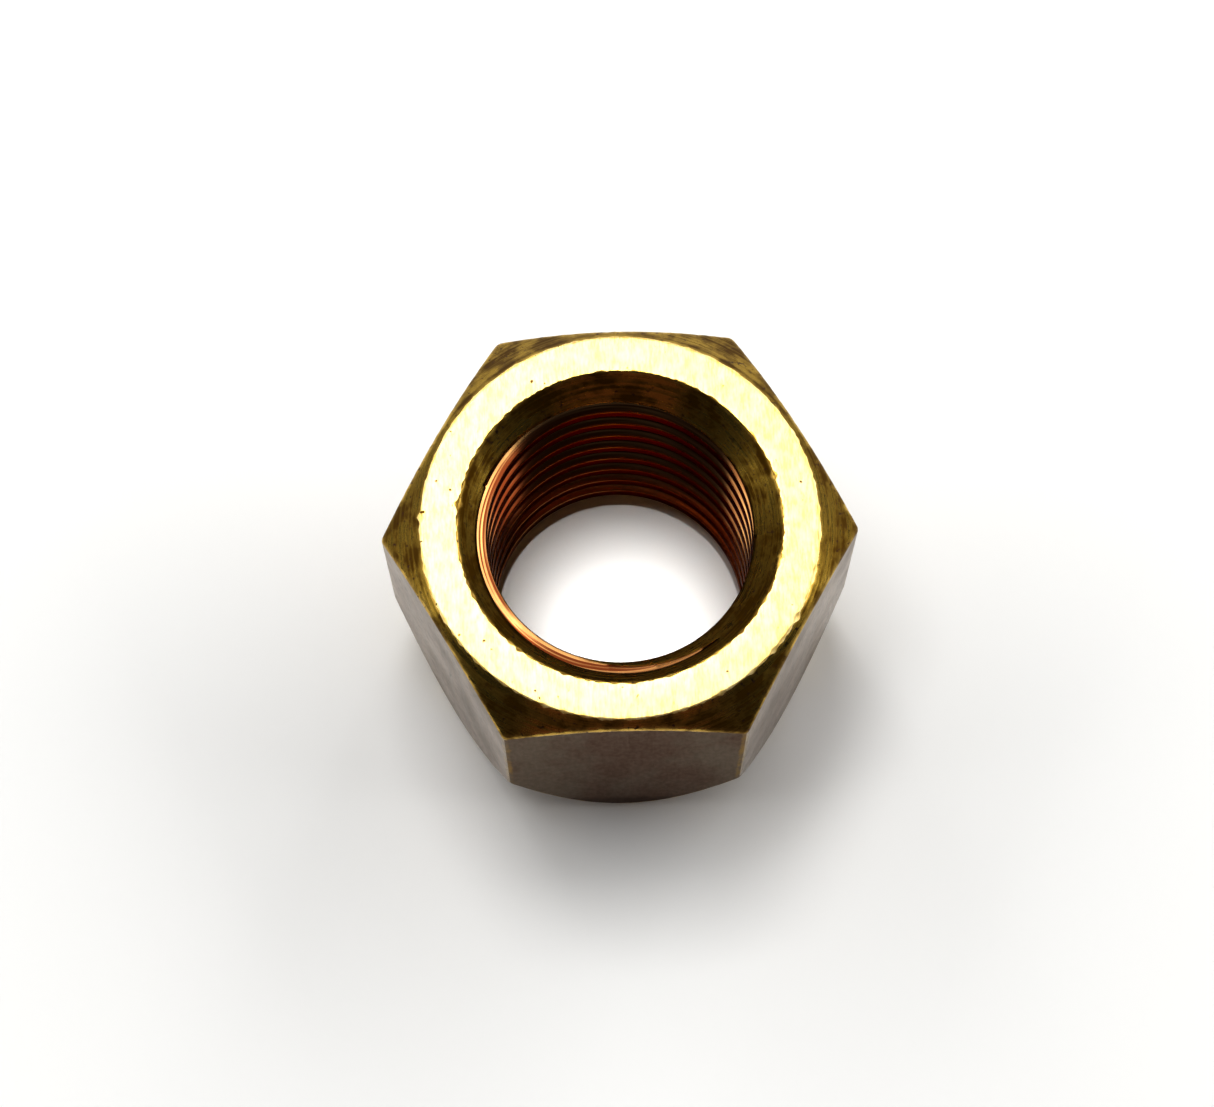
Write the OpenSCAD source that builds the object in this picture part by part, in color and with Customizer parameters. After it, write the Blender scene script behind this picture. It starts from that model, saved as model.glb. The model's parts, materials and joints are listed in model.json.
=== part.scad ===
// Tall brass hex nut for an M10 x 1.25 stud: turned and tapped from drawn hexagon bar.
// Millimetres. The thread axis is Z, the origin is the middle of the base face, the six
// corners lie on X and at every 60 degrees from it, and two of the flats face +Y and -Y.

/* [Body] */
// Width across flats, which is the size of the spanner
across_flats = 14; // [13.6:0.1:14.4]
// Height from the base face to the top face
nut_h = 12; // [11:0.5:14]

/* [Top end] */
// Diameter of the flat face at the top, inside its chamfer
top_face_d = 13.35; // [12.6:0.05:13.5]
// Angle of the top chamfer, measured down from the face
top_chamfer_angle = 40; // [25:1:45]

/* [Base end] */
// Diameter of the flat face at the base
base_face_d = 13.7; // [12.6:0.05:13.9]
// Angle between the tapered skirt and the thread axis
skirt_angle = 16; // [12:1:30]

/* [Thread] */
// Nominal diameter of the stud
thread_d = 10; // [9.8:0.1:10.2]
// Pitch, the rise of one turn
thread_pitch = 1.25; // [1:0.25:1.25]
// Diameter that the hole is drilled to before it is tapped
tapped_bore_d = 9; // [8.7:0.05:9.1]
// Diameter of the countersink's mouth, the same at both ends
countersink_d = 10.9; // [10.6:0.1:11.2]
// Angle between the two sides of the countersink
countersink_angle = 90; // [60:10:120]
// Height at which the groove crosses the +X side of the bore
thread_start = 0.55; // [0:0.05:1.2]
// Flat facets in one turn of the groove
facets_per_turn = 40; // [24:4:48]

/* [Hidden] */
brass = "#C9A24B";
$fn = 96;

corner_d = across_flats / cos(30);
overlap = 1;                       // how far a cutter runs past the face that it cuts
thread_flank = 30;                 // half of the 60 degree thread form
root_gap = 0.05;                   // room that the tap leaves over the stud's crests
root_r = thread_d / 2 + root_gap;
root_half_w = thread_pitch / 16 - root_gap * tan(thread_flank); // half of the groove's flat floor
groove_r = tapped_bore_d / 2 - 0.2;
groove_half_w = root_half_w + (root_r - groove_r) * tan(thread_flank);
turns = ceil(nut_h / thread_pitch) + 2;

// Cone frustum that widens from d at z = 0 upwards, where angle is its side's slope from Z
module flare(d, angle, h) {
    cylinder(d1 = d, d2 = d + 2 * h * tan(angle), h = h);
}

// Hexagon bar, cut back to round ends by the top chamfer and by the tapered skirt
module blank() {
    intersection() {
        cylinder(d = corner_d, h = nut_h, $fn = 6);
        flare(base_face_d, skirt_angle, nut_h);
        translate([0, 0, nut_h]) mirror([0, 0, 1])
            flare(top_face_d, 90 - top_chamfer_angle, nut_h);
    }
}

// Countersink at z = 0, which narrows upwards into the nut
module countersink() {
    depth = countersink_d / 2 / tan(countersink_angle / 2);
    cylinder(d1 = countersink_d, d2 = 0, h = depth);
}

// Section of the groove: a 60 degree trapezium from inside the bore out to the thread root
groove_section = [
    [groove_r, -groove_half_w],
    [root_r, -root_half_w],
    [root_r, root_half_w],
    [groove_r, groove_half_w]
];

// The section carried along a right-hand helix, as one closed polyhedron
module groove() {
    rings = turns * facets_per_turn;
    points = [
        for (i = [0 : rings])
            let (a = 360 * i / facets_per_turn, z = thread_pitch * i / facets_per_turn)
                for (p = groove_section) [p[0] * cos(a), p[0] * sin(a), p[1] + z]
    ];
    sides = [
        for (i = [0 : rings - 1], j = [0 : 3])
            let (a = 4 * i + j, b = 4 * i + (j + 1) % 4)
                each [[a, b, b + 4], [a, b + 4, a + 4]]
    ];
    ends = [[3, 2, 1, 0], [for (j = [0 : 3]) 4 * rings + j]];
    polyhedron(points, concat(sides, ends));
}

module hex_nut() {
    color(brass) difference() {
        blank();
        translate([0, 0, -overlap]) cylinder(d = tapped_bore_d, h = nut_h + 2 * overlap);
        countersink();
        translate([0, 0, nut_h]) mirror([0, 0, 1]) countersink();
        translate([0, 0, thread_start - thread_pitch]) groove();
    }
}

hex_nut();
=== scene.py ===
import json
import math
from functools import partial

import bpy
import numpy as np
from mathutils import Matrix, Vector


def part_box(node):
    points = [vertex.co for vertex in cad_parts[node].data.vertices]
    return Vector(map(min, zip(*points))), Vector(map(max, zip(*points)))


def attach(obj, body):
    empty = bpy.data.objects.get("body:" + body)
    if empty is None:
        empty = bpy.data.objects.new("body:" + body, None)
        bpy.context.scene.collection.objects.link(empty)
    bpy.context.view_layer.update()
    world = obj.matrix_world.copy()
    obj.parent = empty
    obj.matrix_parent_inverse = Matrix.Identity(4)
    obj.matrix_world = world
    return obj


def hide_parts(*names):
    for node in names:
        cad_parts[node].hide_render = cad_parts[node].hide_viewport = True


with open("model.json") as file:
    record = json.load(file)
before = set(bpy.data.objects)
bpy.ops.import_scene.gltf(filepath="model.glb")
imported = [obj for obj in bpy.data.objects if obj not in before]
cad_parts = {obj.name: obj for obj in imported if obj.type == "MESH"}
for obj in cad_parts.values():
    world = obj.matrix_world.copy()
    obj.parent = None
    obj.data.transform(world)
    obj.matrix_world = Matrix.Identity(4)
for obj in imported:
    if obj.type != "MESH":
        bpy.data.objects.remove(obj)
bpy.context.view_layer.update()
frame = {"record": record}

bl_info = {
    "name": "Tall Brass Hex Nut",
    "version": (1, 0, 0),
    "blender": (4, 5, 0),
    "location": "View3D > Sidebar > Brass Nut",
    "description": "Builds a tapped hexagon nut, its finishes and a small studio round it",
    "category": "Add Mesh",
}

MM = 0.001
ROOT_GAP = 0.05 * MM        # room that the tap leaves over the stud's crests
FLANK = math.radians(30)    # half of the 60 degree thread form
ROOT_BLEND = 0.03 * MM      # rounding of the groove's floor into its sides
CREST_BLEND = 0.02 * MM     # rounding of the crests
MOUTH_BLEND = 0.008 * MM    # rounding where the thread runs out into a countersink
low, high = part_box("hex_nut")
mounts = {m["name"]: m for m in frame["record"]["mounts"]}
bore_mount = mounts["thread"]["dims"]

# The surfaces of the nut, in the order of its material slots. The last is the flat facing -Y, whose
# darker colours are partly stains and partly painted shade for the shadowed floor that it mirrors.
LAPPED, TURNED, DRAWN, TAPPED, STAINED_AND_SHADED = range(5)


# ---------------------------------------------------------------- settings

class NutSizes(bpy.types.PropertyGroup):
    """The sizes that a turner would be given, in metres"""

    across_flats: bpy.props.FloatProperty(
        name="Across flats", description="Size of the spanner that fits the nut",
        default=high.y - low.y, min=0.005, precision=5, unit="LENGTH")
    height: bpy.props.FloatProperty(
        name="Height", description="From the base face to the top face",
        default=high.z - low.z, min=0.004, precision=5, unit="LENGTH")
    top_face: bpy.props.FloatProperty(
        name="Top face", description="Diameter of the flat ring inside the top chamfer",
        default=13.35 * MM, min=0.004, precision=5, unit="LENGTH")
    top_chamfer: bpy.props.FloatProperty(
        name="Top chamfer", description="Slope of the top chamfer, down from the face",
        default=math.radians(40), subtype="ANGLE")
    base_face: bpy.props.FloatProperty(
        name="Base face", description="Diameter of the ring that the nut stands on",
        default=13.7 * MM, min=0.004, precision=5, unit="LENGTH")
    skirt: bpy.props.FloatProperty(
        name="Skirt", description="Taper of the lower end, from the thread axis",
        default=math.radians(16), subtype="ANGLE")
    corner_radius: bpy.props.FloatProperty(
        name="Corner radius", description="Rounding of the six long edges",
        default=0.24 * MM, min=0.00001, precision=6, unit="LENGTH")
    thread: bpy.props.FloatProperty(
        name="Thread", description="Nominal diameter of the stud",
        default=10 * MM, min=0.002, precision=5, unit="LENGTH")
    pitch: bpy.props.FloatProperty(
        name="Pitch", description="Rise of one turn of the thread",
        default=1.25 * MM, min=0.0002, precision=6, unit="LENGTH")
    bore: bpy.props.FloatProperty(
        name="Bore", description="Diameter drilled before tapping",
        default=2 * bore_mount["r_mm"] * MM, min=0.002, precision=5, unit="LENGTH")
    countersink: bpy.props.FloatProperty(
        name="Countersink", description="Diameter of the 90 degree countersink's mouth",
        default=10.9 * MM, min=0.002, precision=5, unit="LENGTH")
    thread_start: bpy.props.FloatProperty(
        name="Thread start", description="Height at which the groove crosses the +X side",
        default=0.55 * MM, precision=6, unit="LENGTH")


def linear(hex_colour):
    """An sRGB hex value as the linear red, green and blue that shaders work in, and alpha 1."""
    srgb = np.array([int(hex_colour[i:i + 2], 16) for i in (1, 3, 5)]) / 255
    low_part, high_part = srgb / 12.92, ((srgb + 0.055) / 1.055) ** 2.4
    return (*np.where(srgb <= 0.04045, low_part, high_part).tolist(), 1)


def colour_setting(name, description, default):
    """A colour property whose default is an sRGB hex value."""
    return bpy.props.FloatVectorProperty(
        name=name, description=description, subtype="COLOR", size=4, min=0, max=1,
        default=linear(default))


class NutFinish(bpy.types.PropertyGroup):
    """The colours of the nut's surfaces and of the studio"""

    bright: colour_setting("Bright brass", "Freshly cut metal", "#EBC873")
    lapped: colour_setting("Lapped brass", "The top ring, rubbed flat", "#F6E3AC")
    turned: colour_setting("Turned brass", "Chamfers and countersinks", "#A6893B")
    turned_dark: colour_setting("Turned brass, dark", "Film between the turning marks", "#5A3F0A")
    skin: colour_setting("Drawn skin", "The flats as the bar was drawn", "#B9ACA0")
    skin_dark: colour_setting("Drawn skin, dark", "Stains on the flats", "#938477")
    # The next three colours darken the flat facing -Y: partly stains, and partly painted shade for
    # the shadowed floor that it mirrors. The red-brown also colours the chamfers' specks of dirt,
    # and the grey the pits and die lines of the other flats.
    stain_and_shade: colour_setting("Stained flat", "Red-brown stain on the darkest flat", "#4D3427")
    grey_film_and_shade: colour_setting("Stained flat, grey", "Grey film between its stains", "#595044")
    # This colour is painted shade along the foot of the flat facing -Y, where the flat mirrors the
    # shadow at its base.
    foot_shade: colour_setting("Stained flat, foot", "Tide mark along its lower edge", "#2C120A")
    tapped: colour_setting("Tapped brass", "Thread flanks", "#D4A56C")
    # On the crests this colour is partly painted shade, for the shadowed floor that the crests
    # mirror.
    thread_film_and_shade: colour_setting("Thread film", "Film in the roots and on the crests", "#6B2F14")
    floor: colour_setting("Floor", "The surface under the nut", "#F4F4F2")


# ---------------------------------------------------------------- shape of the nut

def hexagon_radius(angle, across, corner):
    """Radius of a hexagon with rounded corners, as a function of the angle.

    From a corner the angle is folded into -30 to 30 degrees. On a flat the radius is half
    the width across flats over cos(30 degrees - folded angle); within the corner's arc it
    is the far crossing of the ray with a circle of the corner's radius, whose centre lies
    on the corner's own ray.
    """
    folded = np.abs((angle + math.pi / 6) % (math.pi / 3) - math.pi / 6)
    flat = across / 2 / np.cos(math.pi / 6 - folded)
    centre = (across / 2 - corner) / math.cos(math.pi / 6)
    reach = np.maximum(corner ** 2 - (centre * np.sin(folded)) ** 2, 0)
    arc = centre * np.cos(folded) + np.sqrt(reach)
    return np.where(folded < arc_half_angle(across, corner), arc, flat)


def arc_half_angle(across, corner):
    """Half the angle that a rounded corner covers, seen from the axis."""
    centre = (across / 2 - corner) / math.cos(math.pi / 6)
    return math.atan2(corner / 2, centre + corner * math.cos(math.pi / 6))


def column_angles(sizes, along_flat=40, round_corner=8):
    """Angles of the mesh's columns: even along each flat, and close round each corner."""
    half = arc_half_angle(sizes.across_flats, sizes.corner_radius)
    side = np.linspace(half, math.pi / 6, along_flat + 1)
    corner = np.linspace(-half, half, round_corner + 1)
    sector = np.concatenate([-side[::-1][:-1], corner[:-1], side[:-1]])
    return (sector + np.arange(6)[:, None] * math.pi / 3).ravel()


def ragged(angle, size, seed):
    """A small wandering function of the angle, whose root mean square is size.

    It is a sum of sines of whole orders, each as strong as one over the root of its order.
    """
    count, lowest, highest = 40, 20, 140
    rng = np.random.default_rng(seed)
    orders = rng.integers(lowest, highest, count)
    phases = rng.uniform(0, 2 * math.pi, count)
    waves = np.sin(angle[:, None] * orders + phases) / np.sqrt(orders / lowest)
    return size * waves.sum(1) / np.sqrt((lowest / orders).sum() / 2)


def chips(angle, places):
    """Sum of bell-shaped bites, (angle, width, depth) each: depth exp(-(away / width)^2)."""
    centre, width, depth = np.array(places).T[:, :, None]
    away = (angle - np.radians(centre) + math.pi) % (2 * math.pi) - math.pi
    return (depth * np.exp(-(away / np.radians(width)) ** 2)).sum(0)


# Bites out of the top ring's edges: angle and width in degrees, depth in millimetres, which is
# under 0 where the edge is sharper than elsewhere
INNER_CHIPS = [(171, 1.2, 0.14), (230.5, 0.8, 0.08), (347, 0.8, 0.09), (17.5, 1.0, 0.08),
               (93, 0.7, -0.04), (129, 1.5, 0.03), (205, 1.0, 0.03), (262, 1.4, 0.02)]
OUTER_CHIPS = [(176, 1.0, 0.08), (298.5, 0.8, 0.05), (322, 1.1, 0.06), (318, 0.8, 0.04),
               (326, 0.7, 0.04), (60, 1.0, 0.04), (140, 1.2, 0.04), (247, 1.3, 0.03)]


# Rounding of each corner of the section, in millimetres
ROUNDING = [0, 0.035, 0.045, 0.10, 0.12, 0.08, 0.05, 0]
# Surface of each straight between two corners, and the even rows of mesh laid along it
STRAIGHTS = [(TURNED, 2), (LAPPED, 5), (TURNED, 5), (DRAWN, 6),
             (TURNED, 5), (TURNED, 3), (TURNED, 2)]
ARC_ROWS = 4             # steps of mesh round each rounded corner of the section
SUPPORT = 0.12 * MM      # distance from a rounded edge to the first row beyond it
MOST_SUPPORT = 0.3       # most of a short straight that this distance may take
BESIDE_EDGE = 0.7        # wear where a rounded edge begins; it is 1 along its middle
LEDGE = 0.25 * MM        # depth in the countersinks at which the outside grid ends
RIM = 0.36 * MM          # depth in the countersinks at which the bore grid starts
ON_CONE = 0.012 * MM     # distance within which a point counts as on a countersink's cone


def section_corners(sizes, angle):
    """Corners (radius, height) of the nut's outside, column by column.

    The chain starts inside the top countersink, runs over the top ring, down the chamfer
    and the flat, down the skirt to the base ring, and ends inside the base countersink.
    The chamfer and the skirt are cones, so they meet a flat where each cone's radius
    equals the hexagon's radius at that angle.
    """
    one = np.ones_like(angle)
    top, mouth = sizes.height, sizes.countersink / 2
    hexagon = hexagon_radius(angle, sizes.across_flats, sizes.corner_radius)
    shoulder = top - (hexagon - sizes.top_face / 2) * math.tan(sizes.top_chamfer)
    skirt_top = (hexagon - sizes.base_face / 2) / math.tan(sizes.skirt)
    chain = [
        (one * (mouth - LEDGE), one * (top - LEDGE)),
        (one * mouth, one * top),
        (one * sizes.top_face / 2, one * top),
        (hexagon, shoulder),
        (hexagon, skirt_top),
        (one * sizes.base_face / 2, one * 0),
        (one * mouth, one * 0),
        (one * (mouth - LEDGE), one * LEDGE),
    ]
    return np.stack([np.stack(pair, -1) for pair in chain], 1)


def rounding(angle):
    """How far each corner of the section is rounded off along its two sides, column by column.

    It is a constant for each corner, in millimetres. The edges of the top ring and of the
    chamfer also wander, and the top ring's two have chips bitten out.
    """
    cut = np.tile(ROUNDING, (len(angle), 1))
    cut[:, 1] += np.maximum(ragged(angle, 0.020, 1), -0.02) + chips(angle, INNER_CHIPS)
    cut[:, 2] += np.maximum(ragged(angle, 0.024, 2), -0.02) + chips(angle, OUTER_CHIPS)
    cut[:, 3] += np.maximum(ragged(angle, 0.013, 4), -0.04)
    return cut[:, :, None] * MM


def section_rows(corners, cut):
    """Rows of the section, with their surface and their wear.

    Each inner corner C is rounded by a parabola from A to B, the points at the rounding
    distance along its two sides: (1 - t)^2 A + 2 t (1 - t) C + t^2 B. Each straight from
    one parabola to the next has a row close to either end and even rows between.
    """
    count = corners.shape[1]
    step = np.diff(corners, axis=1)
    length = np.linalg.norm(step, axis=2, keepdims=True)
    along = step / length
    before = corners[:, 1:-1] - along[:, :-1] * cut[:, 1:-1]
    after = corners[:, 1:-1] + along[:, 1:] * cut[:, 1:-1]
    starts = np.concatenate([corners[:, :1], after], 1)
    stops = np.concatenate([before, corners[:, -1:]], 1)
    rows, surface, wear = [], [], []
    for i in range(count - 1):
        start, stop = starts[:, i, None], stops[:, i, None]
        run = np.linalg.norm(stop - start, axis=2, keepdims=True)
        support = np.minimum(SUPPORT / run, MOST_SUPPORT)
        kind, inner = STRAIGHTS[i]
        even = np.linspace(0, 1, inner)[None, :, None]
        share = support + (1 - 2 * support) * even
        rows.append(np.concatenate([start, start + (stop - start) * share, stop], 1))
        surface += [kind] * (inner + 2)
        wear += [BESIDE_EDGE] + [0.0] * inner + [BESIDE_EDGE]
        if i < count - 2:
            t = np.linspace(0, 1, ARC_ROWS + 1)[1:-1][None, :, None]
            corner = corners[:, i + 1, None]
            after_arc = starts[:, i + 1, None]
            rows.append((1 - t) ** 2 * stop + 2 * t * (1 - t) * corner + t ** 2 * after_arc)
            surface += [kind] * (ARC_ROWS - 1)
            wear += [1.0] * (ARC_ROWS - 1)
    wear[0] = wear[-1] = 0.0
    return np.concatenate(rows, 1), np.array(surface), np.array(wear)


def soft_max(a, b, blend):
    """The larger of two heights, with the crease between them rounded over blend."""
    return (a + b + np.sqrt((a - b) ** 2 + blend ** 2)) / 2


def groove_form(sizes):
    """Radius of the groove's floor, half its width, and half the width of the groove's mouth.

    The groove is an eighth of the pitch wide at the stud's nominal radius.
    """
    root = sizes.thread / 2 + ROOT_GAP
    floor_half = sizes.pitch / 16 - ROOT_GAP * math.tan(FLANK)
    return root, floor_half, floor_half + (root - sizes.bore / 2) * math.tan(FLANK)


def groove_radius(sizes, from_middle):
    """Radius of the tapped wall, at a distance along Z from the middle of the groove.

    The sides rise 30 degrees from a plane across the axis, and stop at the crest, which is
    the wall of the drilled hole.
    """
    root, floor_half, _ = groove_form(sizes)
    side = root - (np.abs(from_middle) - floor_half) / math.tan(FLANK)
    cut = -soft_max(-side, -root, ROOT_BLEND)
    return soft_max(cut, sizes.bore / 2, CREST_BLEND)


def pitch_rows(sizes):
    """Heights, as shares of one pitch, of the rows that follow one turn of the groove."""
    _, floor_half, mouth_half = groove_form(sizes)
    edge = np.array([-0.03, 0, 0.03]) * MM
    side = floor_half + (mouth_half - floor_half) * np.array([0.35, 0.68])
    half = np.concatenate([floor_half + edge, side, mouth_half + edge])
    crest = np.linspace(mouth_half + edge[-1], sizes.pitch / 2, 4)[1:]
    both = np.concatenate([-crest[-2::-1], -half[::-1], [0], half, crest])
    return both / sizes.pitch


def snap_to_crease(height, gap):
    """Moves the nearer of two rows onto the height where gap changes sign between them."""
    t = gap[:, :-1] / np.where(gap[:, :-1] == gap[:, 1:], 1, gap[:, :-1] - gap[:, 1:])
    crossing = (gap[:, :-1] > 0) != (gap[:, 1:] > 0)
    target = height[:, :-1] + t * np.diff(height, axis=1)
    lower, upper = crossing & (t < 0.5), crossing & (t >= 0.5)
    height[:, :-1][lower] = target[lower]
    height[:, 1:][upper] = target[upper]


def tapped_wall(sizes, angle):
    """The bore's wall as grids of radius and height, the row where each column starts and
    ends, and each row's place from the groove's middle, 0, to the crest's, 1.

    Columns keep one angle. Rows climb with the thread: the height is the thread's start
    plus a pitch times (angle / full turn + whole turns + place in the pitch). The radius is
    the largest of the groove's and the two countersink cones', and rows past the ends of
    the cones are gathered on the two rings where the outside begins.
    """
    turn = (angle - angle[0]) / (2 * math.pi)
    first = sizes.thread_start + sizes.pitch * angle[0] / (2 * math.pi)
    turns = np.arange(-2, math.ceil(sizes.height / sizes.pitch) + 2)
    steps = (turns[:, None] + pitch_rows(sizes)).ravel()
    height = first + sizes.pitch * (turn[:, None] + steps)
    start = sizes.thread_start + sizes.pitch * angle[:, None] / (2 * math.pi)
    mouth = sizes.countersink / 2

    def groove(z):
        away = (z - start + sizes.pitch / 2) % sizes.pitch - sizes.pitch / 2
        return groove_radius(sizes, away)

    def cones(z):
        return mouth - np.minimum(z, sizes.height - z)

    snap_to_crease(height, groove(height) - cones(height))
    starts = (height <= RIM).sum(1) - 1
    stops = (height < sizes.height - RIM).sum(1)
    height = np.clip(height, RIM, sizes.height - RIM)
    radius = soft_max(groove(height), cones(height), MOUTH_BLEND)
    rows = np.arange(height.shape[1])
    ends = (rows <= starts[:, None]) | (rows >= stops[:, None])
    radius[ends] = mouth - RIM
    share = np.tile(np.abs(pitch_rows(sizes)), len(turns)) * 2
    return radius, height, starts, stops, share


def nut_mesh(sizes):
    """The nut as one closed mesh: outside grid, bore grid, and a band of triangles at each end.

    Every point is (radius cos angle, radius sin angle, height). The outside has two columns
    to each one of the bore, so each band joins two short sides to one long one.
    """
    angle = column_angles(sizes)
    rows, surface, wear = section_rows(section_corners(sizes, angle), rounding(angle))
    columns, outer_rows = rows.shape[:2]
    from_corner = np.abs((angle + math.pi / 6) % (math.pi / 3) - math.pi / 6)
    arc = arc_half_angle(sizes.across_flats, sizes.corner_radius)
    edge = np.clip(1 - (from_corner - arc) * sizes.across_flats / 2 / SUPPORT, 0, 1)
    on_flat = surface == DRAWN
    worn = np.maximum(wear[None, :], edge[:, None] * on_flat[None, :])

    bore_angle = angle[::2]
    radius, height, starts, stops, share = tapped_wall(sizes, bore_angle)
    bore_columns, bore_rows = radius.shape

    def points(a, r, z):
        return np.stack([r * np.cos(a)[:, None], r * np.sin(a)[:, None], z], -1).reshape(-1, 3)

    outside = points(angle, rows[..., 0], rows[..., 1])
    bore = points(bore_angle, radius, height)
    vertices = np.concatenate([outside, bore])

    def outer(c, r):
        return (c % columns) * outer_rows + r

    c, r = np.meshgrid(np.arange(columns), np.arange(outer_rows - 1), indexing="ij")
    quad = np.stack([outer(c, r), outer(c, r + 1), outer(c + 1, r + 1), outer(c + 1, r)], -1)
    quad = quad.reshape(-1, 4)
    quad_surface = np.broadcast_to(surface[:-1], (columns, outer_rows - 1)).copy()
    # The flat facing -Y lies within 30 degrees of 270 degrees. It gets the darker material, whose
    # colours are partly stains and partly painted shade.
    middle = (angle + np.append(angle[1:], angle[0] + 2 * math.pi)) / 2
    on_front = np.abs(middle - math.pi * 1.5) < math.pi / 6
    quad_surface[on_front[:, None] & (quad_surface == DRAWN)] = STAINED_AND_SHADED
    quad_surface = quad_surface.ravel()

    # One turn round the bore lands as many rows higher as there are rows in a pitch.
    climb = len(pitch_rows(sizes))

    def inner(c, r):
        wrapped = c >= bore_columns
        column = np.where(wrapped, c - bore_columns, c)
        row = np.where(wrapped, r + climb, r)
        row = np.clip(row, starts[column], stops[column])
        return len(outside) + column * bore_rows + row

    c, r = np.meshgrid(np.arange(bore_columns), np.arange(-climb, bore_rows - 1), indexing="ij")
    a, b, d, e = inner(c, r), inner(c + 1, r), inner(c + 1, r + 1), inner(c, r + 1)
    wall = np.concatenate([np.stack(t, -1).reshape(-1, 3) for t in ((a, d, b), (a, e, d))])
    distinct = (wall[:, 0] != wall[:, 1]) & (wall[:, 1] != wall[:, 2]) & (wall[:, 2] != wall[:, 0])
    wall = np.unique(wall[distinct], axis=0)

    i = np.arange(bore_columns)
    j = (i + 1) % bore_columns

    def band(outer_row, end, flip):
        near, far = (len(outside) + column * bore_rows + end[column] for column in (i, j))
        p, q, s = (outer(2 * i + k, outer_row) for k in range(3))
        made = [np.stack(t, -1) for t in ((near, p, q), (near, q, far), (far, q, s))]
        return np.concatenate(made)[:, ::-1 if flip else 1]

    bands = np.concatenate([band(0, stops, False), band(outer_rows - 1, starts, True)])
    triangles = np.concatenate([wall, bands])
    triangle_surface = np.concatenate([np.full(len(wall), TAPPED), np.full(len(bands), TURNED)])
    triangle_surface[:len(wall)][on_countersink(sizes, vertices[wall])] = TURNED
    marks = {
        "wear": np.concatenate([worn.ravel(), np.zeros(len(bore))]),
        "from_root": np.concatenate([np.ones(len(outside)), np.tile(share, bore_columns)]),
    }
    return vertices, quad, quad_surface, triangles, triangle_surface, marks


def on_countersink(sizes, corners):
    """Whether each triangle lies on a countersink: all its corners are close to the cone."""
    radius, height = np.hypot(corners[..., 0], corners[..., 1]), corners[..., 2]
    cone = sizes.countersink / 2 - np.minimum(height, sizes.height - height)
    return (np.abs(radius - cone) < ON_CONE).all(1)


def mesh_from(name, vertices, quads, triangles, surface, marks):
    """A Blender mesh from arrays, without the points that no face uses."""
    corners = np.concatenate([quads.ravel(), triangles.ravel()])
    used, compact = np.unique(corners, return_inverse=True)
    vertices = vertices[used]
    sizes = np.concatenate([np.full(len(quads), 4), np.full(len(triangles), 3)])
    mesh = bpy.data.meshes.new(name)
    mesh.vertices.add(len(vertices))
    mesh.vertices.foreach_set("co", vertices.astype(np.float32).ravel())
    mesh.loops.add(len(compact))
    mesh.loops.foreach_set("vertex_index", compact.astype(np.int32))
    mesh.polygons.add(len(sizes))
    starts = np.cumsum(sizes) - sizes
    mesh.polygons.foreach_set("loop_start", starts.astype(np.int32))
    mesh.polygons.foreach_set("material_index", surface.astype(np.int32))
    mesh.polygons.foreach_set("use_smooth", np.ones(len(sizes), bool))
    for mark, values in marks.items():
        layer = mesh.attributes.new(mark, "FLOAT", "POINT")
        layer.data.foreach_set("value", values[used].astype(np.float32))
    mesh.update(calc_edges=True)
    mesh.validate()
    return mesh


# ---------------------------------------------------------------- finishes

def node(tree, kind, inputs=(), output=0, **settings):
    """Adds one shader node with its settings and inputs, and returns one of its outputs.

    Each input is a socket to link from or a constant to set, in the node's own order or
    keyed by its name or number. With output None the node itself is returned.
    """
    made = tree.nodes.new("ShaderNode" + kind)
    for name, value in settings.items():
        setattr(made, name, value)
    for key, value in inputs.items() if isinstance(inputs, dict) else enumerate(inputs):
        if isinstance(value, bpy.types.NodeSocket):
            tree.links.new(value, made.inputs[key])
        else:
            made.inputs[key].default_value = value
    return made if output is None else made.outputs[output]


def blank_metal(name):
    """A metal material with no finish yet.

    Gives the material, the function that adds its nodes, its shader, and the coordinates of
    the piece that wears it.
    """
    made = bpy.data.materials.new(name)
    made.use_nodes = True
    made.node_tree.nodes.clear()
    add = partial(node, made.node_tree)
    shader = add("BsdfPrincipled", {"Metallic": 1.0}, None)
    add("OutputMaterial", {"Surface": shader.outputs["BSDF"]}, None)
    return made, add, shader, add("TexCoord", output="Object")


def grain(add, vector, per_mm, detail=2.0, rough=0.5):
    """A noise pattern, about 0.3 to 0.7, with so many grains per millimetre along each axis."""
    scaled = add("Mapping", {"Vector": vector, "Scale": [n / MM for n in per_mm]})
    settings = {"Vector": scaled, "Scale": 1.0, "Detail": detail, "Roughness": rough}
    return add("TexNoise", settings, "Fac")


# In the functions below, a pattern's range is (pattern, low, high, least, most): as the pattern
# goes from low to high, its share goes from least to most, which are 0 and 1 if left out.

def summed(add, first, *others):
    """The sum of the shares of several patterns, each given with its range."""
    total = add("MapRange", first)
    for other in others:
        total = add("Math", (total, add("MapRange", other)), operation="ADD")
    return total


def coat(add, under, over, *pattern):
    """One colour laid over another, as thick as the share of a pattern given with its range.

    A Mix node has its factor at input 0, and its colours at inputs 6 and 7 and output 2.
    """
    share = add("MapRange", pattern)
    return add("Mix", {0: share, 6: under, 7: over}, 2, data_type="RGBA")


def worn_edges(add, blot, most_blot, low, high, most):
    """Share of bare metal where handling has rubbed an edge, broken up by blots."""
    edge = add("Attribute", output="Fac", attribute_name="wear")
    broken = add("Math", (edge, add("MapRange", (blot, 0.35, 0.65, -0.75, most_blot))),
                 operation="ADD")
    return add("MapRange", (broken, low, high, 0, most))


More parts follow.
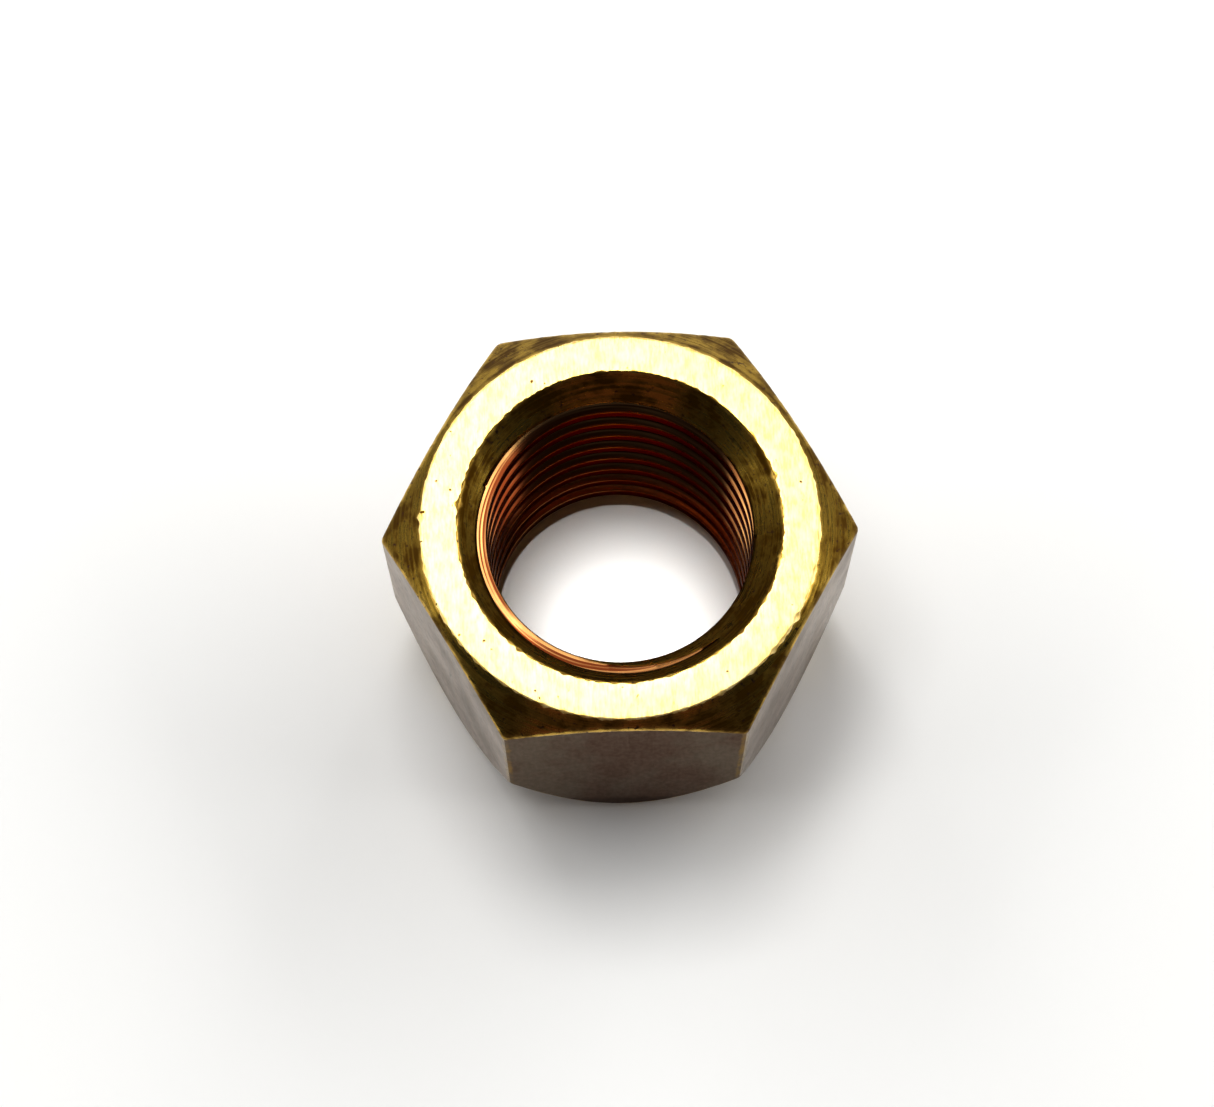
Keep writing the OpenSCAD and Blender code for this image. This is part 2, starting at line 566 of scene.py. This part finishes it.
def finish_metal(add, shader, tone, rough, *relief):
    """Links the colour and the roughness into the shader, and stacks up the relief.

    The relief is (pattern, depth) for each layer from the lowest up. The depth is in metres,
    from the pattern's 0 to its 1.
    """
    links = shader.id_data.links
    links.new(tone, shader.inputs["Base Color"])
    links.new(rough, shader.inputs["Roughness"])
    below = {}
    for pattern, depth in relief:
        bump = {"Strength": 1.0, "Distance": depth, "Height": pattern}
        below = {"Normal": add("Bump", bump | below)}
    links.new(below["Normal"], shader.inputs["Normal"])


def turning_place(add, place):
    """A vector (radius, height, y), in which marks that run round the axis are straight."""
    flat = add("VectorMath", (place, (1, 1, 0)), operation="MULTIPLY")
    radius = add("VectorMath", (flat,), "Value", operation="LENGTH")
    parts = add("SeparateXYZ", (place,), None)
    return add("CombineXYZ", (radius, parts.outputs["Z"], parts.outputs["Y"]))


def lapped_brass(finish):
    """The top ring, rubbed flat on fine paper: pale and bright, with straight hair scratches."""
    made, add, shader, place = blank_metal("lapped_brass")
    # Hair scratches along Y. A real one is 0.02 mm wide at most, and these are drawn 0.08 mm wide.
    hair = grain(add, place, (13, 2.2, 1), 3, 0.6)
    # Clouds half a millimetre across, which make the ring patchy, from yellow to nearly white
    cloud = grain(add, place, (2.2, 1.4, 1), 4, 0.65)
    # Pores a tenth of a millimetre across, the highest peaks of this grain, which catch dirt
    pore = grain(add, place, (4, 4, 4), 1)
    patch = summed(add, (cloud, 0.38, 0.62, 0, 0.6), (hair, 0.36, 0.64, -0.2, 0.5))
    tone = coat(add, finish.bright, finish.lapped, patch, 0, 1)
    tone = coat(add, tone, finish.turned_dark, pore, 0.72, 0.76)
    rough = summed(add, (hair, 0.3, 0.7, 0.36, 0.44), (cloud, 0.3, 0.7, 0, 0.06))
    finish_metal(add, shader, tone, rough, (cloud, 0.0012 * MM), (hair, 0.003 * MM))
    return made


def turned_brass(finish):
    """Chamfers and countersinks, cut in a lathe: rings round the axis, under a brown film."""
    made, add, shader, place = blank_metal("turned_brass")
    # Tool marks 0.1 mm apart, the tool's feed in one turn; they fade in and out every 4 mm
    ring = grain(add, turning_place(add, place), (9, 9, 0.25), 2, 0.6)
    # Film of cutting oil and tarnish, thick in clouds a millimetre across
    film = grain(add, place, (0.9, 0.9, 1.4), 5, 0.62)
    # Specks of dirt about 0.1 mm across
    speck = grain(add, place, (6, 6, 6), 2)
    thick = summed(add, (film, 0.40, 0.60), (ring, 0.35, 0.65, -0.35, 0.35))
    tone = coat(add, finish.turned, finish.turned_dark, thick, 0, 1)
    # Edges are rubbed bright, least where the film is thick
    edge = add("Attribute", output="Fac", attribute_name="wear")
    bared = add("MapRange", (film, 0.35, 0.60, 0.54, 0.09))
    rub = add("Math", (edge, bared), operation="MULTIPLY")
    tone = coat(add, tone, finish.bright, rub, 0, 1)
    tone = coat(add, tone, finish.stain_and_shade, speck, 0.62, 0.74)
    rough = summed(add, (thick, 0, 1, 0.24, 0.42), (ring, 0.3, 0.7, -0.04, 0.06))
    finish_metal(add, shader, tone, rough, (film, 0.006 * MM), (ring, 0.004 * MM))
    return made


def drawn_brass(finish):
    """The flats, as the bar came from the drawing die: a dull grey-brown skin with worn edges."""
    made, add, shader, place = blank_metal("drawn_brass")
    # Die lines along the bar. Real ones are under 0.05 mm apart, and these are drawn 0.14 mm apart.
    line = grain(add, place, (7, 7, 0.12), 3, 0.6)
    # Stains about 3 mm across, and blots of 0.6 to 0.9 mm
    stain = grain(add, place, (0.35, 0.35, 0.28), 5, 0.6)
    blot = grain(add, place, (1.6, 1.6, 1.1), 4, 0.65)
    # Fine pitting of the skin, drawn a fifth of a millimetre across
    pit = grain(add, place, (5, 5, 3.5), 2)
    tone = coat(add, finish.skin, finish.skin_dark, stain, 0.40, 0.66)
    tone = coat(add, tone, finish.turned_dark, blot, 0.50, 0.80, 0, 0.25)
    tone = coat(add, tone, finish.grey_film_and_shade, pit, 0.48, 0.72, 0, 0.45)
    tone = coat(add, tone, finish.grey_film_and_shade, line, 0.35, 0.65, 0.35, 0)
    worn = worn_edges(add, blot, 0.10, 0.35, 0.95, 0.7)
    tone = coat(add, tone, finish.turned, worn, 0, 1)
    rough = summed(add, (stain, 0.3, 0.7, 0.28, 0.38), (line, 0.3, 0.7, -0.04, 0.06),
                   (worn, 0, 1, 0, -0.12))
    finish_metal(add, shader, tone, rough,
                 (blot, 0.005 * MM), (pit, 0.004 * MM), (line, 0.004 * MM))
    return made


def stained_and_shaded_brass(finish):
    """The flat that faces -Y: the same drawn skin under red-brown and grey stains, hardly worn. Its
    colours are darker than the other flats' as painted shade, for the shadowed floor that it
    mirrors.
    """
    made, add, shader, place = blank_metal("stained_and_shaded_brass")
    # A tint that dulls what the flat mirrors at a low angle: partly tarnish, partly painted shade
    shader.inputs["Specular Tint"].default_value = (0.82, 0.73, 0.66, 1)
    # Die lines drawn 0.14 mm apart, as on the other flats
    line = grain(add, place, (7, 7, 0.12), 3, 0.6)
    # Stains that ran down and dried, about 3 mm wide, and blots of 0.6 to 1.1 mm
    stain = grain(add, place, (0.30, 0.30, 0.18), 5, 0.62)
    blot = grain(add, place, (1.6, 1.6, 0.9), 4, 0.65)
    # Pitting drawn 0.2 mm wide
    pit = grain(add, place, (6, 6, 2.5), 2)
    parts = add("SeparateXYZ", (place,), None)
    # The red stain is thickest in the middle of the flat
    aside = add("Math", (parts.outputs["X"],), operation="ABSOLUTE")
    patch = summed(add, (stain, 0.40, 0.60), (blot, 0.35, 0.65, -0.3, 0.3),
                   (aside, 1.0 * MM, 3.2 * MM, 0.3, -0.35))
    # Both colours are darker than the other flats' skin: painted shade for the shadowed floor that
    # this flat mirrors, with the stains in their pattern
    tone = coat(add, finish.grey_film_and_shade, finish.stain_and_shade, patch, 0, 1)
    tone = coat(add, tone, finish.skin, pit, 0.35, 0.65, 0.12, 0)
    tone = coat(add, tone, finish.skin, line, 0.45, 0.75, 0, 0.12)
    # Painted shade along the foot, about 1.5 mm up, where the flat mirrors the shadow at its base
    uneven = add("MapRange", (blot, 0.3, 0.7, -0.2 * MM, 0.2 * MM))
    foot_height = add("Math", (parts.outputs["Z"], uneven), operation="ADD")
    tone = coat(add, tone, finish.foot_shade, foot_height, 1.3 * MM, 1.8 * MM, 0.92, 0)
    worn = worn_edges(add, blot, 0.05, 0.40, 1.0, 0.6)
    tone = coat(add, tone, finish.turned, worn, 0, 1)
    rough = summed(add, (stain, 0.3, 0.7, 0.36, 0.48), (line, 0.3, 0.7, -0.03, 0.03))
    finish_metal(add, shader, tone, rough, (blot, 0.006 * MM), (line, 0.002 * MM))
    return made


def tapped_brass(finish):
    """The thread, cut by a tap: coppery flanks with marks along the groove, and dirty roots."""
    made, add, shader, place = blank_metal("tapped_brass")
    # Film keeps the walls from turning white where they are seen at a low angle
    shader.inputs["Specular Tint"].default_value = (0.14, 0.04, 0.03, 1)
    # 0 at the middle of the groove's floor, and 1 at the middle of the crest
    level = add("Attribute", output="Fac", attribute_name="from_root")
    parts = add("SeparateXYZ", (place,), None)
    along = add("CombineXYZ", (level, parts.outputs["X"], parts.outputs["Y"]))
    # Marks along the groove, 10 from its floor to the crest or 0.06 mm apart, and 7 mm long
    mark = grain(add, along, (10 * MM, 0.14, 0.14), 2, 0.6)
    # Tarnish in clouds 2 mm across
    film = grain(add, place, (0.5, 0.5, 0.5), 4, 0.6)
    tone = coat(add, finish.tapped, finish.thread_film_and_shade, film, 0.42, 0.66, 0, 0.4)
    # The tap leaves bright lines with film between them
    tone = coat(add, tone, finish.thread_film_and_shade, mark, 0.43, 0.56, 0.95, 0)
    # Dirt in the root, and on the crest, which the drill left and the tap didn't touch; the crest's
    # dark colour is also painted shade, for the shadowed floor that the crests mirror
    tone = coat(add, tone, finish.thread_film_and_shade, level, 0.05, 0.30, 0.7, 0)
    tone = coat(add, tone, finish.thread_film_and_shade, level, 0.60, 0.75, 0, 0.85)
    rough = summed(add, (mark, 0.3, 0.7, 0.12, 0.22), (film, 0.3, 0.7, 0, 0.06))
    finish_metal(add, shader, tone, rough, (mark, 0.002 * MM))
    return made


# ---------------------------------------------------------------- operators

class MakeNut(bpy.types.Operator):
    """Build the nut in place of its plain frame solid, and give it its five finishes"""

    bl_idname = "brass_nut.make_nut"
    bl_label = "Nut"

    def execute(self, context):
        sizes, finish = context.scene.nut_sizes, context.scene.nut_finish
        vertices, quads, quad_surface, triangles, triangle_surface, marks = nut_mesh(sizes)
        surface = np.concatenate([quad_surface, triangle_surface])
        mesh = mesh_from("brass_hex_nut", vertices, quads, triangles, surface, marks)
        for material in (lapped_brass, turned_brass, drawn_brass, tapped_brass, stained_and_shaded_brass):
            mesh.materials.append(material(finish))
        nut = bpy.data.objects.new("brass_hex_nut", mesh)
        context.scene.collection.objects.link(nut)
        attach(nut, "root")
        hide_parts("hex_nut")
        return {"FINISHED"}


# The middle of the nut's top face, which the lights and the camera point at
TARGET = Vector((0, 0, high.z))
# Soft panels: name, place, width and depth in metres, brightness of the face, and colour. The
# first two light the top ring, and the last is dim and reddish, for the front flat to mirror.
WHITE = (1, 1, 1)
PANELS = [
    ("overhead_panel", (-0.04, 0.165, 0.5), (0.16, 0.16), 12.2, WHITE),
    ("fill_panel", (-0.13, 0.03, 0.5), (0.12, 0.12), 8.0, WHITE),
    ("left_panel", (-0.55, 0.28, 0.40), (1.1, 0.5), 2.0, WHITE),
    ("right_panel", (0.55, 0.28, 0.40), (1.1, 0.5), 2.8, WHITE),
    ("back_panel", (0, 0.9, 0.28), (1.2, 0.3), 1.8, WHITE),
    ("front_panel", (0, -0.9, 0.36), (1.2, 0.46), 0.18, (1.0, 0.27, 0.12)),
]
# Lamp over the hole: its place, the radius of its beam on the floor, and how bright a white
# floor is in that beam
BORE_LAMP = ((0, -0.0004, 0.5), 4.2 * MM, 1.1)
BORE_LAMP_EDGE = 0.25                 # share of the beam over which it fades
BORE_LAMP_RADIUS = 2 * MM             # radius of the lamp itself
STUDIO_COLOUR = (0.9, 0.95, 1.0, 1)   # what the nut mirrors between the panels
STUDIO_BRIGHTNESS = 0.07
DISPLAY_GAMMA = 0.8                   # under 1, which deepens the shadows
FLOOR_HALF = 1.0                      # half of the floor's side
FLOOR_ROUGHNESS = 0.9
# Camera: degrees round from -Y towards +X, degrees up and degrees of roll, metres from the
# target, lens in millimetres, and shift in shares of the frame's longer side
CAMERA_AZIMUTH, CAMERA_ELEVATION, CAMERA_ROLL = -1.8, 72.7, 0.33
CAMERA_DISTANCE = 0.1051
CAMERA_LENS = 93.3
CAMERA_SHIFT = (-0.0108, -0.0239)
CAMERA_CLIP = (0.005, 10)


def area_light(name, place, size, radiance, colour):
    """A soft panel light: its power is pi times its area times the brightness of its face."""
    lamp = bpy.data.lights.new(name, "AREA")
    lamp.shape = "RECTANGLE"
    lamp.size, lamp.size_y = size
    lamp.energy = math.pi * size[0] * size[1] * radiance
    lamp.color = colour
    thing = bpy.data.objects.new(name, lamp)
    thing.location = place
    thing.rotation_mode = "QUATERNION"
    thing.rotation_quaternion = (TARGET - Vector(place)).to_track_quat("-Z", "Y")
    thing.visible_camera = False
    bpy.context.scene.collection.objects.link(thing)


def bore_lamp(place, reach, brightness):
    """A snooted lamp above the hole, whose beam passes down it and meets only the floor.

    A spot's power is 4 pi times its strength in one direction, and a white floor is 1 / pi
    as bright as the light that falls on it, so the power is 4 pi^2 height^2 brightness.
    """
    lamp = bpy.data.lights.new("bore_lamp", "SPOT")
    lamp.spot_size = 2 * math.atan(reach / place[2])
    lamp.spot_blend = BORE_LAMP_EDGE
    lamp.shadow_soft_size = BORE_LAMP_RADIUS
    lamp.energy = 4 * math.pi ** 2 * place[2] ** 2 * brightness
    thing = bpy.data.objects.new("bore_lamp", lamp)
    thing.location = place
    bpy.context.scene.collection.objects.link(thing)


class MakeStage(bpy.types.Operator):
    """Lay the floor, hang the lights and set up the camera"""

    bl_idname = "brass_nut.make_stage"
    bl_label = "Stage"

    def execute(self, context):
        scene = context.scene
        self.lay_floor(scene)
        self.set_studio(scene)
        for panel in PANELS:
            area_light(*panel)
        bore_lamp(*BORE_LAMP)
        self.make_camera(scene)
        return {"FINISHED"}

    def lay_floor(self, scene):
        """A plain pale sheet of paper under the nut."""
        signs = ((-1, -1), (1, -1), (1, 1), (-1, 1))
        corners = [(FLOOR_HALF * x, FLOOR_HALF * y, 0) for x, y in signs]
        mesh = bpy.data.meshes.new("floor")
        mesh.from_pydata(corners, [], [(0, 1, 2, 3)])
        paper = bpy.data.materials.new("floor_paper")
        paper.use_nodes = True
        shader = paper.node_tree.nodes["Principled BSDF"]
        shader.inputs["Base Color"].default_value = scene.nut_finish.floor
        shader.inputs["Roughness"].default_value = FLOOR_ROUGHNESS
        mesh.materials.append(paper)
        floor = bpy.data.objects.new("floor", mesh)
        scene.collection.objects.link(floor)

    def set_studio(self, scene):
        """The dim room that the nut stands in, and the contrast that it is shown with."""
        world = bpy.data.worlds.new("studio")
        world.use_nodes = True
        background = world.node_tree.nodes["Background"]
        background.inputs["Color"].default_value = STUDIO_COLOUR
        background.inputs["Strength"].default_value = STUDIO_BRIGHTNESS
        scene.world = world
        scene.view_settings.view_transform = "Standard"
        scene.view_settings.gamma = DISPLAY_GAMMA

    def make_camera(self, scene):
        """A long lens looking steeply down on the front flat."""
        azimuth, elevation = math.radians(CAMERA_AZIMUTH), math.radians(CAMERA_ELEVATION)
        roll = math.radians(CAMERA_ROLL)
        back = Vector((math.sin(azimuth) * math.cos(elevation),
                       -math.cos(azimuth) * math.cos(elevation), math.sin(elevation)))
        level = Vector((0, 0, 1)).cross(back).normalized()
        steep = back.cross(level)
        right = level * math.cos(roll) + steep * math.sin(roll)
        up = steep * math.cos(roll) - level * math.sin(roll)
        data = bpy.data.cameras.new("camera")
        data.lens = CAMERA_LENS
        data.shift_x, data.shift_y = CAMERA_SHIFT
        data.clip_start, data.clip_end = CAMERA_CLIP
        camera = bpy.data.objects.new("camera", data)
        turn = Matrix((right, up, back)).transposed().to_4x4()
        camera.matrix_world = Matrix.Translation(TARGET + back * CAMERA_DISTANCE) @ turn
        scene.collection.objects.link(camera)
        scene.camera = camera


class BrassNutPanel(bpy.types.Panel):
    """Lists the nut's sizes, its finishes and the two operators"""

    bl_idname = "VIEW3D_PT_brass_nut"
    bl_label = "Brass Nut"
    bl_space_type = "VIEW_3D"
    bl_region_type = "UI"
    bl_category = "Brass Nut"

    def draw(self, context):
        for settings in (context.scene.nut_sizes, context.scene.nut_finish):
            box = self.layout.box()
            for name in settings.__annotations__:
                box.prop(settings, name)
        self.layout.operator(MakeNut.bl_idname)
        self.layout.operator(MakeStage.bl_idname)


CLASSES = (NutSizes, NutFinish, MakeNut, MakeStage, BrassNutPanel)


def register():
    for cls in CLASSES:
        bpy.utils.register_class(cls)
    bpy.types.Scene.nut_sizes = bpy.props.PointerProperty(type=NutSizes)
    bpy.types.Scene.nut_finish = bpy.props.PointerProperty(type=NutFinish)


def unregister():
    del bpy.types.Scene.nut_finish
    del bpy.types.Scene.nut_sizes
    for cls in reversed(CLASSES):
        bpy.utils.unregister_class(cls)


def main():
    register()
    bpy.ops.brass_nut.make_nut()
    bpy.ops.brass_nut.make_stage()


if __name__ == "__main__":
    main()
